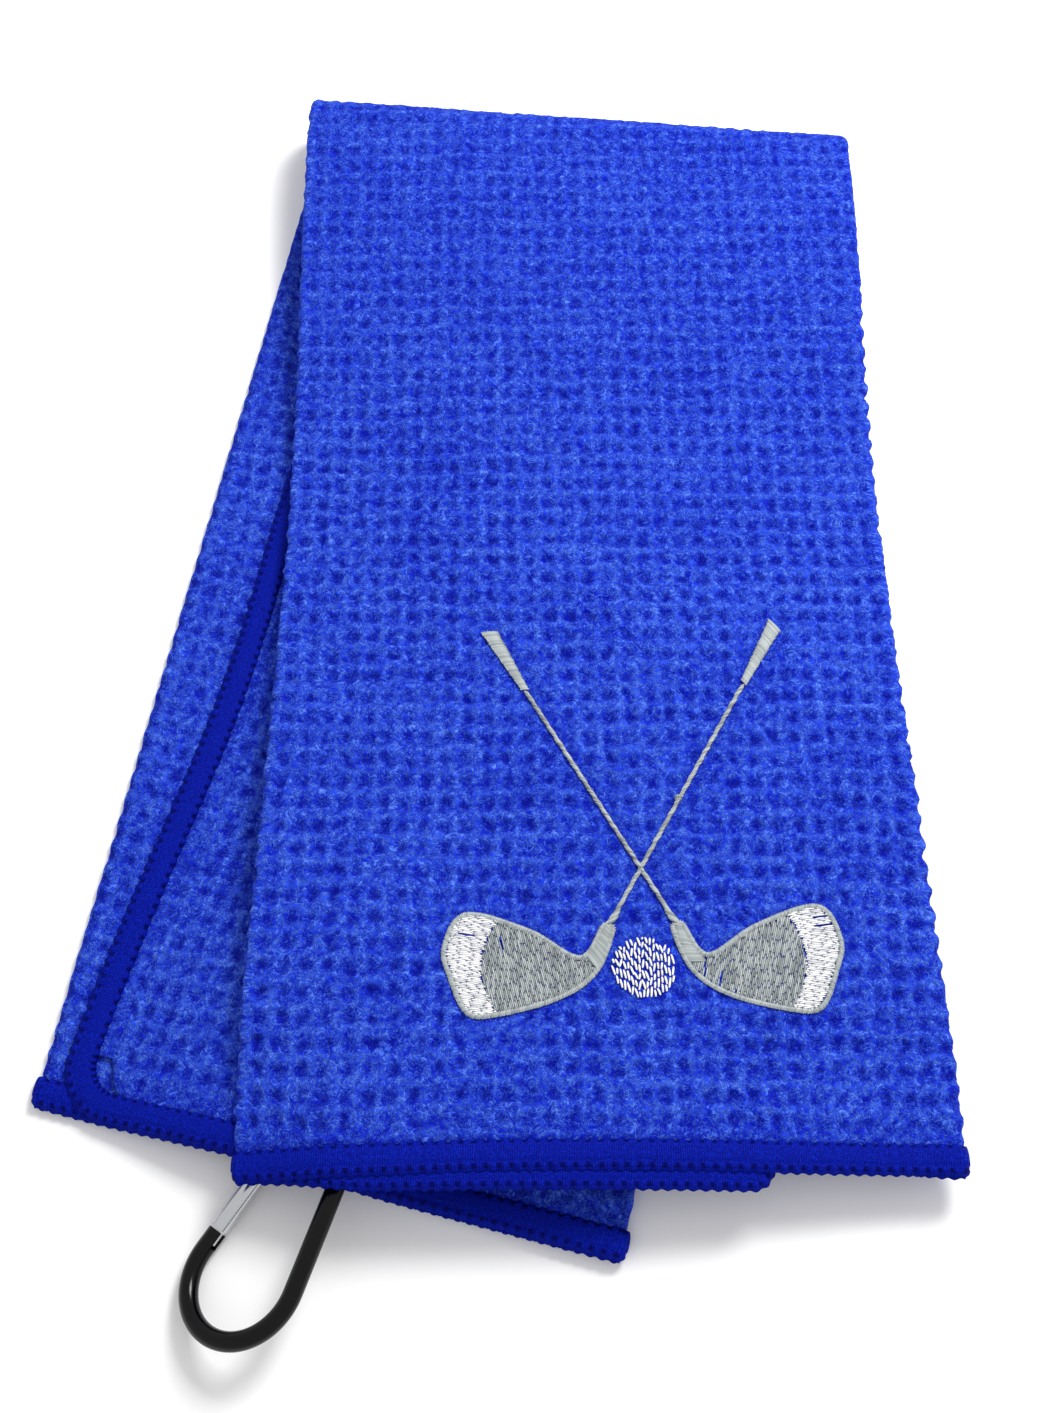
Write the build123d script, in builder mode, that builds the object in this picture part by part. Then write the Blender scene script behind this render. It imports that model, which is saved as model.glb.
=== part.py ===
from build123d import *
import os
from math import asin, cos, degrees, radians, sin, tan

# Golf towel: waffle cloth folded in three lengthwise and then in half over the top,
# an overlock hem, an embroidered front panel, and a carabiner through a grommet.
# Millimetres. X runs across the front panel, +Y towards the top fold, +Z up.
# The towel lies on its back half, and the origin is under the middle of the whole.

# Cloth, as six layers: three of the back half and three of the front half
CLOTH_T = 1.1
LAYER_GAP = 0.3
LAYER_PITCH = CLOTH_T + LAYER_GAP
STACK_T = 2 * LAYER_PITCH + CLOTH_T
HEM_W = 6.5
TOWEL_W = 403.2
RIGHT_FLAP_W = 131.7
PANEL, LEFT_FLAP, RIGHT_FLAP = 0, 1, 2

# Top fold, which runs slightly askew, so the back half comes out fanned to the left
FOLD_R = 10.0
FOLD_MARGIN = 0.2
CREST_LEFT = Vector(-55.0, 176.2, FOLD_R)
CREST_RIGHT = Vector(103.0, 161.1, FOLD_R)
ROLL_ANGLES = [90, 60, 30, degrees(asin(FOLD_MARGIN / FOLD_R))]

# Front half: height of the front panel's face at its end, at the sag and at the top
FRONT_END_Y = -139.4
FRONT_END_Z = 17.3
SAG_Y = 45.0
SAG_Z = 8.4
FRONT_END_SHIFT = {PANEL: 0.0, LEFT_FLAP: -4.0, RIGHT_FLAP: 3.0}

# Back half, which narrows towards its end
BACK_END_LEFT = Vector(-102.9, -123.4, 0)
BACK_END_RIGHT = Vector(29.0, -157.2, 0)
BACK_END_SHIFT = {PANEL: 0.0, LEFT_FLAP: 0.5, RIGHT_FLAP: 0.0}

# Grommet through the three back layers, and the bump of cloth that the carabiner lifts
GROMMET_FROM_END = 16.0
GROMMET_MID_Z = 6.3
CLOTH_SLOPE = 18.0
SLOPE_HALF = 11.0
BUMP_LEFT_FOOT = 50.0
BUMP_RIGHT_FOOT = 20.0
BUMP_FLAT_TO = 26.0
BUMP_ENDS_AT = 65.0
BUMP_LEAST = 0.01
HOLE_R = 6.0
BARREL_R = 6.4
FLANGE_R = 8.8
FLANGE_T = 0.6
WASHER_T = 0.65
RIM_R = 7.3
RIM_T = 0.3
FIT = 0.05

# Carabiner: two arcs joined by straight runs, in a tilted plane
ROD_D = 4.2
NARROW_R = 8.0
WIDE_R = 12.9
APEX_SHIFT = -0.28
WIDE_CENTRE = 40.95
LOOP_TILT = 23.0
LOOP_RISE = 0.021
LOOP_DIRECTION = Vector(-0.452, -0.892, 0)
PIVOT_S = 9.5
SHOULDER_GAP = 2.5
TONGUE_T = 1.5
TONGUE_R = 1.9
SLOT_T = 1.7
SLOT_DEPTH = 2.4
RIVET_R = 0.7
RIVET_FIT = 0.05
GATE_L = 25.0
TIP_L = 3.3
TIP_T = 1.4
TIP_HALF_W = 1.5
NOSE_GAP = 0.4
NOSE_SLOT_L = 3.7
NOSE_WEB = 0.45
BORE_R = 1.3
BORE_START = 3.0
BORE_L = 20.0
SPRING_WIRE_R = 0.15
SPRING_R = 1.0
SPRING_TURNS = 8
SPRING_L = 11.0
PLUNGER_R = 1.1
PLUNGER_L = 4.0

# Embroidery
THREAD_T = 0.6
SHAFT_W = 1.0
# Embroidery: one club, mirrored about a line up the panel and skewed with the cloth
MIRROR_X = 35.0
EMBLEM_SKEW = 0.03
BALL_CENTRE = (MIRROR_X, -95.6)
BALL_R = 7.3
HOSEL_OUT, HOSEL_Y, HOSEL_HALF = 8.0, -86.5, 1.1
THROAT_OUT, THROAT_Y = 14.5, -92.8
SHOULDER_OUT, SHOULDER_Y = 26.0, -86.0
CROWN_OUT, CROWN_Y = 40.5, -81.5
TOE_OUT, TOE_Y = 45.3, -89.5
SOLE_OUT, SOLE_Y = 34.0, -105.8
MID_SOLE_OUT, MID_SOLE_Y = 19.5, -102.2
HEEL_OUT, HEEL_Y = 11.0, -96.3
RIM = 1.5
GRIP_TOP, GRIP_FOOT = (36.0, -5.5), (27.0, -22.5)
GRIP_W, GRIP_FOOT_W = 3.8, 2.0
SHAFT_TOP, SHAFT_FOOT = (26.7, -23.2), (7.6, -85.0)
KNOT_AT = (44.5, -53.3)

os.makedirs("parts", exist_ok=True)
UP = Vector(0, 0, 1)


def finish(name, builder):
    """Labels a finished piece and writes it to its own file."""
    builder.part.label = name
    export_step(builder.part, f"parts/{name}.step")


# ---------------------------------------------------------------- stations of the cloth
# A station is a cross-section of one half: its left and right points on the outer face,
# the direction from there towards the inside of the fold, and its share of the bump, if any.
fold_line = (CREST_RIGHT - CREST_LEFT).normalized()
fold_out = UP.cross(fold_line).normalized()


def roll_stations(side):
    """Stations round the top fold, side +1 for the front half and -1 for the back half."""
    stations = []
    for angle in ROLL_ANGLES:
        radial = fold_out * cos(radians(angle)) + UP * (side * sin(radians(angle)))
        outward = radial * FOLD_R - fold_out * FOLD_R
        stations.append((CREST_LEFT + outward, CREST_RIGHT + outward, radial * -1, None))
    return stations


def front_station(distance):
    """A station of the front half at a distance from its end."""
    y = FRONT_END_Y + distance
    z = FRONT_END_Z + (SAG_Z - FRONT_END_Z) * distance / (SAG_Y - FRONT_END_Y)
    return (Vector(CREST_LEFT.X, y, z), Vector(CREST_RIGHT.X, y, z), UP * -1, None)


end_line = (BACK_END_RIGHT - BACK_END_LEFT).normalized()
end_inward = UP.cross(end_line)
back_left_edge = (Vector(CREST_LEFT.X, CREST_LEFT.Y, 0) - BACK_END_LEFT).normalized()
back_right_edge = (Vector(CREST_RIGHT.X, CREST_RIGHT.Y, 0) - BACK_END_RIGHT).normalized()


def back_station(distance):
    """A station of the back half, parallel to its end and at a distance from it."""
    left = BACK_END_LEFT + back_left_edge * (distance / back_left_edge.dot(end_inward))
    right = BACK_END_RIGHT + back_right_edge * (distance / back_right_edge.dot(end_inward))
    if distance > BUMP_ENDS_AT:
        return (left, right, UP, None)
    bump = (BUMP_ENDS_AT - distance) / (BUMP_ENDS_AT - BUMP_FLAT_TO)
    return (left, right, UP, min(1.0, max(BUMP_LEAST, bump)))


def front_stations(start):
    return [front_station(start), front_station(SAG_Y - FRONT_END_Y)] + roll_stations(1)


def back_stations(start):
    distances = (start, BUMP_FLAT_TO, BUMP_ENDS_AT, BUMP_ENDS_AT + 1)
    straight = [back_station(distance) for distance in distances]
    return straight + roll_stations(-1)


# The grommet's place: in from the middle of the back half's end
end_middle = (BACK_END_LEFT + BACK_END_RIGHT) * 0.5
grommet = end_middle + end_inward * GROMMET_FROM_END + UP * GROMMET_MID_Z
slope = tan(radians(CLOTH_SLOPE))
cloth_normal = (end_line - UP * slope).cross(end_inward).normalized()
grommet_plane = Plane(origin=grommet, x_dir=end_inward, z_dir=cloth_normal)
half_stack = STACK_T * cos(radians(CLOTH_SLOPE)) / 2

bump_mid = GROMMET_MID_Z - STACK_T / 2
bump_across = [-BUMP_LEFT_FOOT, -SLOPE_HALF, SLOPE_HALF, BUMP_RIGHT_FOOT]
bump_lift = [0.0, bump_mid + slope * SLOPE_HALF, bump_mid - slope * SLOPE_HALF, 0.0]


def cross_points(station, start, end):
    """Points across one layer, each with its lift above the flat cloth."""
    left, right, inward, bump = station
    across = (right - left).normalized()
    middle = (grommet - left).dot(across)
    crosses_bump = start < middle + bump_across[0] and end > middle + bump_across[-1]
    if bump is not None and crosses_bump:
        kinks = [middle + q for q in bump_across]
    else:
        kinks = [start + (end - start) * k / 5 for k in (1, 2, 3, 4)]
        bump = 0.0
    lifts = [bump * lift for lift in bump_lift]
    return [(start, 0.0)] + list(zip(kinks, lifts)) + [(end, 0.0)]


def station_plane(station):
    left, right, inward, bump = station
    across = (right - left).normalized()
    return Plane(origin=left, x_dir=across, z_dir=across.cross(inward))


def width(station):
    return (station[1] - station[0]).length


def strip(stations, level, span):
    """One layer, lofted from station to station between the span's two edges."""
    near = level * LAYER_PITCH
    with BuildPart() as cloth:
        for pair in zip(stations, stations[1:]):
            for station in pair:
                edges = cross_points(station, *span(width(station)))
                outer = [(w, near + lift) for w, lift in edges]
                inner = [(w, near + CLOTH_T + lift) for w, lift in reversed(edges)]
                with BuildSketch(station_plane(station)):
                    Polygon(*outer, *inner, align=None)
            loft(ruled=True)
    return cloth


def side_fold(stations, level, is_left):
    """The half-round fold that joins the middle panel to a flap of the given level."""
    outer_r = (level * LAYER_PITCH + CLOTH_T) / 2
    inner_r = outer_r - CLOTH_T
    angles = [90 + 30 * k for k in range(7)]
    turn = 1 if is_left else -1
    with BuildPart() as fold:
        for pair in zip(stations, stations[1:]):
            for station in pair:
                centre = outer_r if is_left else width(station) - outer_r
                ring = [(outer_r, a) for a in angles] + [(inner_r, a) for a in angles[::-1]]
                corners = [
                    (centre + turn * r * cos(radians(a)), outer_r + r * sin(radians(a)))
                    for r, a in ring
                ]
                with BuildSketch(station_plane(station)):
                    Polygon(*corners, align=None)
            loft(ruled=True)
    return fold


def cut_for_grommet(cloth, level):
    """Cuts the barrel's hole, and in the outer layers the recess for flange or washer."""
    with BuildPart() as cut:
        add(cloth.part)
        with BuildSketch(grommet_plane):
            Circle(BARREL_R + FIT)
        extrude(amount=STACK_T, both=True, mode=Mode.SUBTRACT)
        if level == PANEL:
            with BuildSketch(grommet_plane.offset(-half_stack + FLANGE_T + FIT)):
                Circle(FLANGE_R + FIT)
            extrude(amount=-STACK_T, mode=Mode.SUBTRACT)
        if level == RIGHT_FLAP:
            with BuildSketch(grommet_plane.offset(half_stack - WASHER_T - FIT)):
                Circle(FLANGE_R + FIT)
            extrude(amount=STACK_T, mode=Mode.SUBTRACT)
    return cut


left_fold_r = (LEFT_FLAP * LAYER_PITCH + CLOTH_T) / 2
right_fold_r = (RIGHT_FLAP * LAYER_PITCH + CLOTH_T) / 2


def left_flap_w(panel_w):
    """What the panel and the right flap leave of the towel, as far as the right fold."""
    return min(TOWEL_W - RIGHT_FLAP_W - panel_w, panel_w - 2 * right_fold_r - LAYER_GAP)


CLOTH_SPAN = {
    PANEL: lambda w: (left_fold_r, w - right_fold_r),
    LEFT_FLAP: lambda w: (left_fold_r, left_flap_w(w) - HEM_W),
    RIGHT_FLAP: lambda w: (w - RIGHT_FLAP_W + HEM_W, w - right_fold_r),
}
END_HEM_SPAN = {
    PANEL: CLOTH_SPAN[PANEL],
    LEFT_FLAP: lambda w: (left_fold_r, left_flap_w(w)),
    RIGHT_FLAP: lambda w: (w - RIGHT_FLAP_W, w - right_fold_r),
}
SIDE_HEM_SPAN = {
    LEFT_FLAP: lambda w: (left_flap_w(w) - HEM_W, left_flap_w(w)),
    RIGHT_FLAP: lambda w: (w - RIGHT_FLAP_W, w - RIGHT_FLAP_W + HEM_W),
}
LAYER_NAME = {PANEL: "middle_panel", LEFT_FLAP: "left_flap", RIGHT_FLAP: "right_flap"}
HALVES = {
    "front": (front_stations, front_station, FRONT_END_SHIFT),
    "back": (back_stations, back_station, BACK_END_SHIFT),
}

for half, (stations_from, station_at, end_shift) in HALVES.items():
    for level, layer_name in LAYER_NAME.items():
        start = end_shift[level]
        stations = stations_from(start + HEM_W)
        cloth = strip(stations, level, CLOTH_SPAN[level])
        if half == "back":
            cloth = cut_for_grommet(cloth, level)
        finish(f"{half}_{layer_name}", cloth)
        hem_stations = [station_at(start), station_at(start + HEM_W)]
        finish(f"{half}_{layer_name}_end_hem", strip(hem_stations, level, END_HEM_SPAN[level]))
        if level != PANEL:
            finish(f"{half}_{layer_name}_side_hem", strip(stations, level, SIDE_HEM_SPAN[level]))
    fold_stations = stations_from(0.0)
    finish(f"{half}_left_side_fold", side_fold(fold_stations, LEFT_FLAP, True))
    finish(f"{half}_right_side_fold", side_fold(fold_stations, RIGHT_FLAP, False))

# ---------------------------------------------------------------- grommet
with BuildPart() as grommet_barrel:
    with BuildSketch(Plane(grommet, x_dir=end_inward, z_dir=cloth_normal.cross(end_inward) * -1)):
        Polygon(
            (HOLE_R, -half_stack),
            (FLANGE_R, -half_stack),
            (FLANGE_R, -half_stack + FLANGE_T),
            (BARREL_R, -half_stack + FLANGE_T),
            (BARREL_R, half_stack - RIM_T),
            (RIM_R, half_stack - RIM_T),
            (RIM_R, half_stack),
            (HOLE_R, half_stack),
            align=None,
        )
    revolve(axis=Axis(grommet, cloth_normal))
    chamfer(grommet_barrel.edges().filter_by(GeomType.CIRCLE).group_by(SortBy.RADIUS)[0], 0.25)
finish("grommet_barrel", grommet_barrel)

with BuildPart() as grommet_washer:
    with BuildSketch(grommet_plane.offset(half_stack - WASHER_T)):
        Circle(FLANGE_R)
        Circle(BARREL_R + FIT, mode=Mode.SUBTRACT)
    extrude(amount=WASHER_T)
    with BuildSketch(grommet_plane.offset(half_stack)):
        Circle(RIM_R + FIT)
    extrude(amount=-RIM_T - FIT, mode=Mode.SUBTRACT)
finish("grommet_washer", grommet_washer)

# ---------------------------------------------------------------- carabiner
loop_across = LOOP_DIRECTION.cross(UP) * -1
loop_s = (LOOP_DIRECTION.normalized() + UP * LOOP_RISE).normalized()
loop_w = loop_across.normalized() * cos(radians(LOOP_TILT)) + UP * sin(radians(LOOP_TILT))
loop_normal = loop_s.cross(loop_w).normalized()
loop_plane = Plane(origin=grommet, x_dir=loop_s, z_dir=loop_normal)

narrow_centre = NARROW_R + APEX_SHIFT
lean = asin((WIDE_R - NARROW_R) / (WIDE_CENTRE - narrow_centre))
narrow_top = (narrow_centre - NARROW_R * sin(lean), NARROW_R * cos(lean))
wide_top = (WIDE_CENTRE - WIDE_R * sin(lean), WIDE_R * cos(lean))
gate_start = Vector(narrow_top[0], -narrow_top[1])
nose_root = Vector(wide_top[0], -wide_top[1])
gate_way = Vector(cos(lean), -sin(lean))
pivot_local = gate_start + gate_way * ((PIVOT_S - narrow_top[0]) / cos(lean))
shoulder = pivot_local - gate_way * SHOULDER_GAP
nose_tip = pivot_local + gate_way * (GATE_L + NOSE_GAP)

pivot = loop_plane.from_local_coords(pivot_local)
gate_axis = (loop_plane.from_local_coords(pivot_local + gate_way) - pivot).normalized()
gate_plane = Plane(origin=pivot, x_dir=gate_axis, z_dir=loop_normal)
gate_across = Plane(origin=pivot, x_dir=loop_normal, z_dir=gate_axis)

with BuildPart() as carabiner_body:
    with BuildLine(loop_plane) as body_path:
        Line(tuple(shoulder), tuple(gate_start))
        ThreePointArc(tuple(gate_start), (APEX_SHIFT, 0), narrow_top)
        Line(narrow_top, wide_top)
        ThreePointArc(wide_top, (WIDE_CENTRE + WIDE_R, 0), tuple(nose_root))
        Line(tuple(nose_root), tuple(nose_tip))
    with BuildSketch(gate_across.offset(-SHOULDER_GAP)):
        Circle(ROD_D / 2)
    sweep(path=body_path.line)
    with BuildSketch(gate_plane):
        with Locations((-SHOULDER_GAP / 2, 0)):
            Rectangle(SHOULDER_GAP + FIT, 2 * TONGUE_R)
        Circle(TONGUE_R)
        Circle(RIVET_R, mode=Mode.SUBTRACT)
    extrude(amount=TONGUE_T / 2, both=True)
    with BuildSketch(gate_plane):
        with Locations((GATE_L + NOSE_GAP, -ROD_D / 2 + NOSE_WEB)):
            Rectangle(2 * NOSE_SLOT_L, 2 * ROD_D, align=(Align.CENTER, Align.MIN))
    extrude(amount=SLOT_T / 2, both=True, mode=Mode.SUBTRACT)
finish("carabiner_body", carabiner_body)

with BuildPart() as gate_rivet:
    with BuildSketch(gate_plane):
        Circle(RIVET_R)
    extrude(amount=ROD_D / 2, both=True)
    chamfer(gate_rivet.edges().filter_by(GeomType.CIRCLE), 0.15)
finish("gate_rivet", gate_rivet)

with BuildPart() as gate_tube:
    with BuildSketch(gate_across):
        Circle(ROD_D / 2)
    extrude(amount=GATE_L)
    with Locations(gate_across):
        Sphere(ROD_D / 2)
    with BuildSketch(gate_plane):
        with Locations((GATE_L, 0)):
            Rectangle(TIP_L, 2 * TIP_HALF_W, align=(Align.MIN, Align.CENTER))
    extrude(amount=TIP_T / 2, both=True)
    with BuildSketch(gate_plane):
        with Locations((SLOT_DEPTH, 0)):
            Rectangle(4 * ROD_D, 2 * ROD_D, align=(Align.MAX, Align.CENTER))
    extrude(amount=SLOT_T / 2, both=True, mode=Mode.SUBTRACT)
    with BuildSketch(gate_plane):
        Circle(RIVET_R + RIVET_FIT)
    extrude(amount=ROD_D, both=True, mode=Mode.SUBTRACT)
    with BuildSketch(gate_across.offset(SLOT_DEPTH)):
        Circle(BORE_R)
    extrude(amount=BORE_START - SLOT_DEPTH + BORE_L, mode=Mode.SUBTRACT)
finish("gate_tube", gate_tube)

with BuildPart() as gate_plunger:
    with BuildSketch(gate_across.offset(BORE_START)):
        Circle(PLUNGER_R)
    extrude(amount=PLUNGER_L)
    chamfer(gate_plunger.edges().filter_by(GeomType.CIRCLE), 0.2)
finish("gate_plunger", gate_plunger)

spring_base = gate_across.offset(BORE_START + PLUNGER_L + SPRING_WIRE_R + FIT)
with BuildPart() as gate_spring:
    with BuildLine():
        coil = Helix(
            pitch=SPRING_L / SPRING_TURNS,
            height=SPRING_L,
            radius=SPRING_R,
            center=spring_base.origin,
            direction=gate_axis,
        )
    with BuildSketch(Plane(origin=coil @ 0, z_dir=coil % 0)):
        Circle(SPRING_WIRE_R)
    sweep(is_frenet=True)
finish("gate_spring", gate_spring)

# ---------------------------------------------------------------- embroidery
front_fall = (FRONT_END_Z - SAG_Z) / (SAG_Y - FRONT_END_Y)
front_way = Vector(0, 1, -front_fall).normalized()
stitch_lift = FIT
stitch_plane = Plane(
    origin=Vector(0, FRONT_END_Y, FRONT_END_Z + stitch_lift),
    x_dir=Vector(1, 0, 0),
    z_dir=Vector(1, 0, 0).cross(front_way),
)


def on_panel(*points):
    """Plan points of the front panel, as points of the stitching plane."""
    return [(x, (y - FRONT_END_Y) / front_way.Y) for x, y in points]


def on_club(side, *points):
    """Points of one club: distance out from the mirror line, then height up the panel."""
    return on_panel(*[(MIRROR_X + side * out, y + EMBLEM_SKEW * side * out) for out, y in points])


HOSEL = ((HOSEL_OUT - HOSEL_HALF, HOSEL_Y), (HOSEL_OUT + HOSEL_HALF, HOSEL_Y + HOSEL_HALF), (THROAT_OUT, THROAT_Y))
HEAD_EDGE = (
    HOSEL[-1], (SHOULDER_OUT, SHOULDER_Y), (CROWN_OUT, CROWN_Y), (TOE_OUT, TOE_Y),
    (TOE_OUT - 1.5, TOE_Y - 7), (SOLE_OUT + 6, SOLE_Y + 1), (SOLE_OUT, SOLE_Y),
    (MID_SOLE_OUT, MID_SOLE_Y), (HEEL_OUT, HEEL_Y), HOSEL[0],
)
BAND_TOP, BAND_MID, BAND_BOTTOM = (34, CROWN_Y - 2.9), (37, CROWN_Y - 11), (33, SOLE_Y + RIM)
BAND_EDGE = (
    BAND_TOP, (CROWN_OUT - 0.5, CROWN_Y - RIM), (TOE_OUT - RIM, TOE_Y),
    (TOE_OUT - 1.5 - RIM, TOE_Y - 6.5), (SOLE_OUT + 6 - RIM, SOLE_Y + 1 + RIM), BAND_BOTTOM,
)


def grip_corners(side):
    """A tapered bar from the wide top of the grip to its narrow foot."""
    top, foot = (Vector(*point) for point in on_club(side, GRIP_TOP, GRIP_FOOT))
    across = (foot - top).rotate(Axis.Z, 90).normalized()
    ends = [top + across * GRIP_W / 2, foot + across * GRIP_FOOT_W / 2]
    return ends + [foot - across * GRIP_FOOT_W / 2, top - across * GRIP_W / 2]


LEFT_SHAFT = (*on_club(-1, SHAFT_TOP), *on_club(1, SHAFT_FOOT))
RIGHT_SHAFT = (*on_club(1, SHAFT_TOP), *on_club(-1, SHAFT_FOOT))
KNOT = on_panel(KNOT_AT)[0]
KNOT_R = 1.1

for name, side in (("left", -1), ("right", 1)):
    with BuildPart() as head_stitching:
        with BuildSketch(stitch_plane):
            with BuildLine():
                Polyline(*on_club(side, *HOSEL))
                Spline(*on_club(side, *HEAD_EDGE))
            make_face()
            with BuildLine():
                Spline(*on_club(side, *BAND_EDGE))
                ThreePointArc(*on_club(side, BAND_BOTTOM, BAND_MID, BAND_TOP))
            make_face(mode=Mode.SUBTRACT)
        extrude(amount=THREAD_T)
    finish(f"{name}_head_stitching", head_stitching)
    with BuildPart() as toe_stitching:
        with BuildSketch(stitch_plane):
            with BuildLine():
                Spline(*on_club(side, *BAND_EDGE))
                ThreePointArc(*on_club(side, BAND_BOTTOM, BAND_MID, BAND_TOP))
            make_face()
        extrude(amount=THREAD_T)
    finish(f"{name}_toe_stitching", toe_stitching)
    with BuildPart() as grip_stitching:
        with BuildSketch(stitch_plane):
            Polygon(*grip_corners(side), align=None)
        extrude(amount=THREAD_T)
    finish(f"{name}_grip_stitching", grip_stitching)


def bar(start, end):
    """A narrow bar between two points of a sketch."""
    start, end = Vector(start), Vector(end)
    across = (end - start).rotate(Axis.Z, 90).normalized() * (SHAFT_W / 2)
    corners = [start + across, end + across, end - across, start - across]
    Polygon(*[(c.X, c.Y) for c in corners], align=None)


with BuildPart() as shaft_stitching:
    with BuildSketch(stitch_plane):
        bar(*LEFT_SHAFT)
        bar(*RIGHT_SHAFT)
        with Locations(KNOT):
            Circle(KNOT_R)
    extrude(amount=THREAD_T)
finish("shaft_stitching", shaft_stitching)

with BuildPart() as ball_stitching:
    with BuildSketch(stitch_plane):
        with Locations(on_panel(BALL_CENTRE)):
            Circle(BALL_R)
    extrude(amount=THREAD_T)
finish("ball_stitching", ball_stitching)

# Joint places, for the record
hinge_point = CREST_LEFT + fold_out * FOLD_MARGIN
print("top fold hinge", hinge_point, fold_line * -1)
print("grommet", grommet, "gate pivot", pivot, "gate axis", loop_normal)
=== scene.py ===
import math

import bpy
import numpy as np
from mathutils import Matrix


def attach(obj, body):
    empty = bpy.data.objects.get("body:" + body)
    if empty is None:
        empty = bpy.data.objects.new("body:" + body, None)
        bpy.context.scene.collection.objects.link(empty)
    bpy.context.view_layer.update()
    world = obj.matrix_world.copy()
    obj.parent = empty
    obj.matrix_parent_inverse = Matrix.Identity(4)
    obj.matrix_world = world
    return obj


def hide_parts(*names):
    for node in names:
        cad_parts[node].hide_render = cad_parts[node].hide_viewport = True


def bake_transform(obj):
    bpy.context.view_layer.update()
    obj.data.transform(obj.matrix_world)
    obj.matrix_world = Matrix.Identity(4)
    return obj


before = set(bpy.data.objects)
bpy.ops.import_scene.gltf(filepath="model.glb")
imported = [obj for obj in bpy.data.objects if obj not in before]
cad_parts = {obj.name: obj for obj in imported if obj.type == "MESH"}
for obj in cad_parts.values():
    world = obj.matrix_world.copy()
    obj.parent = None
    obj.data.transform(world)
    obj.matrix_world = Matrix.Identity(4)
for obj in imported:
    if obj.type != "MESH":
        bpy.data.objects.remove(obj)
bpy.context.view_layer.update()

# Golf towel. Every length below is in millimetres, as in the CAD, and MM turns it into metres.
# The towel is one sheet of waffle cloth: its two sides are folded over the middle, and then
# it is folded in half over the top. A half is described by sheet coordinates: c runs across
# the sheet (0 at the middle panel's left side, negative on the left flap), v runs from the
# half's end towards the top fold, and h is the height over the cloth's middle surface.
MM = 0.001
rng = np.random.default_rng(7)


# ---------------------------------------------------------------- small numeric helpers
def smooth(x):
    x = np.clip(x, 0.0, 1.0)
    return x * x * (3 - 2 * x)


def curve_through(xs, ys, x):
    """A smooth curve through given points, level at both ends."""
    xs, ys = np.asarray(xs, float), np.asarray(ys, float)
    slopes = np.zeros_like(ys)
    slopes[1:-1] = (ys[2:] - ys[:-2]) / (xs[2:] - xs[:-2])
    x = np.clip(x, xs[0], xs[-1])
    k = np.clip(np.searchsorted(xs, x) - 1, 0, len(xs) - 2)
    span = xs[k + 1] - xs[k]
    t = (x - xs[k]) / span
    a, b = 2 * t**3 - 3 * t**2 + 1, t**3 - 2 * t**2 + t
    return a * ys[k] + b * span * slopes[k] + (1 - a) * ys[k + 1] + (t**3 - t**2) * span * slopes[k + 1]


NOISE = np.random.default_rng(3).random((256, 256))


def noise(x, y):
    """Smooth noise from 0 to 1, with features about one unit wide."""
    i, j = np.floor(x).astype(int), np.floor(y).astype(int)
    s, t = smooth(x - i), smooth(y - j)
    near = NOISE[i % 256, j % 256] * (1 - s) + NOISE[(i + 1) % 256, j % 256] * s
    far = NOISE[i % 256, (j + 1) % 256] * (1 - s) + NOISE[(i + 1) % 256, (j + 1) % 256] * s
    return near * (1 - t) + far * t


def unit(vector):
    return vector / np.linalg.norm(vector, axis=-1, keepdims=True)


# ---------------------------------------------------------------- the fold and the two halves
CLOTH_T = 1.1
PITCH = 1.4
FOLD_R = 10.0
CREST_LEFT = np.array([-55.0, 176.2])
CREST_RIGHT = np.array([103.0, 161.1])
FOLD_WAY = unit(CREST_RIGHT - CREST_LEFT)
FOLD_OUT = np.array([-FOLD_WAY[1], FOLD_WAY[0]])
FOOT_LEFT = CREST_LEFT - FOLD_OUT * FOLD_R
FOOT_RIGHT = CREST_RIGHT - FOLD_OUT * FOLD_R
ROLL_FROM, ROLL_TO = math.radians(60), math.radians(120)

FRONT_END_Y = -139.4
FRONT_END_X = (-54.8, 104.0)
WAIST = 3.0
FRONT_BACKOFF = (-310, -306, -262, -215, -170, -138, -118, -98, -70, -42, -18, 0)
FRONT_HEIGHT = (17.3, 17.2, 15.2, 12.8, 10.9, 9.8, 9.6, 10.4, 13.4, 17.0, 19.4, 20)
RIGHT_DROOP = 6.0
CORNER_DROOP = 5.5

BACK_END_LEFT = np.array([-102.9, -123.4])
BACK_END_RIGHT = np.array([29.0, -157.2])
END_WAY = unit(BACK_END_RIGHT - BACK_END_LEFT)
END_INWARD = np.array([-END_WAY[1], END_WAY[0]])

GROMMET_FROM_END = 16.0
GROMMET_MID_Z = 6.3
CLOTH_SLOPE = math.radians(18)
GROMMET = (BACK_END_LEFT + BACK_END_RIGHT) / 2 + END_INWARD * GROMMET_FROM_END
STACK_T = 2 * PITCH + CLOTH_T
BUMP_Q = (-50, -11, 11, 20)
BUMP_MID = GROMMET_MID_Z - STACK_T / 2
BUMP_LIFT = (0, BUMP_MID + 11 * math.tan(CLOTH_SLOPE), BUMP_MID - 11 * math.tan(CLOTH_SLOPE), 0)
BUMP_FULL_TO, BUMP_ENDS = 26.0, 70.0

# Across a half: the middle surface of the cloth turns round the two side folds
MID = CLOTH_T / 2
LEFT_R = PITCH / 2
RIGHT_R = PITCH
LEFT_ARC, RIGHT_ARC = math.pi * LEFT_R, math.pi * RIGHT_R
LEFT_C, RIGHT_C = MID + LEFT_R, MID + RIGHT_R
TOWEL_W = 403.2
RIGHT_FLAP_W = 131.7
HEM_W = 6.5
CORNERS = {("front", 1): 5.0, ("front", -1): 8.0, ("back", 1): 8.0, ("back", -1): 14.0}


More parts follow.
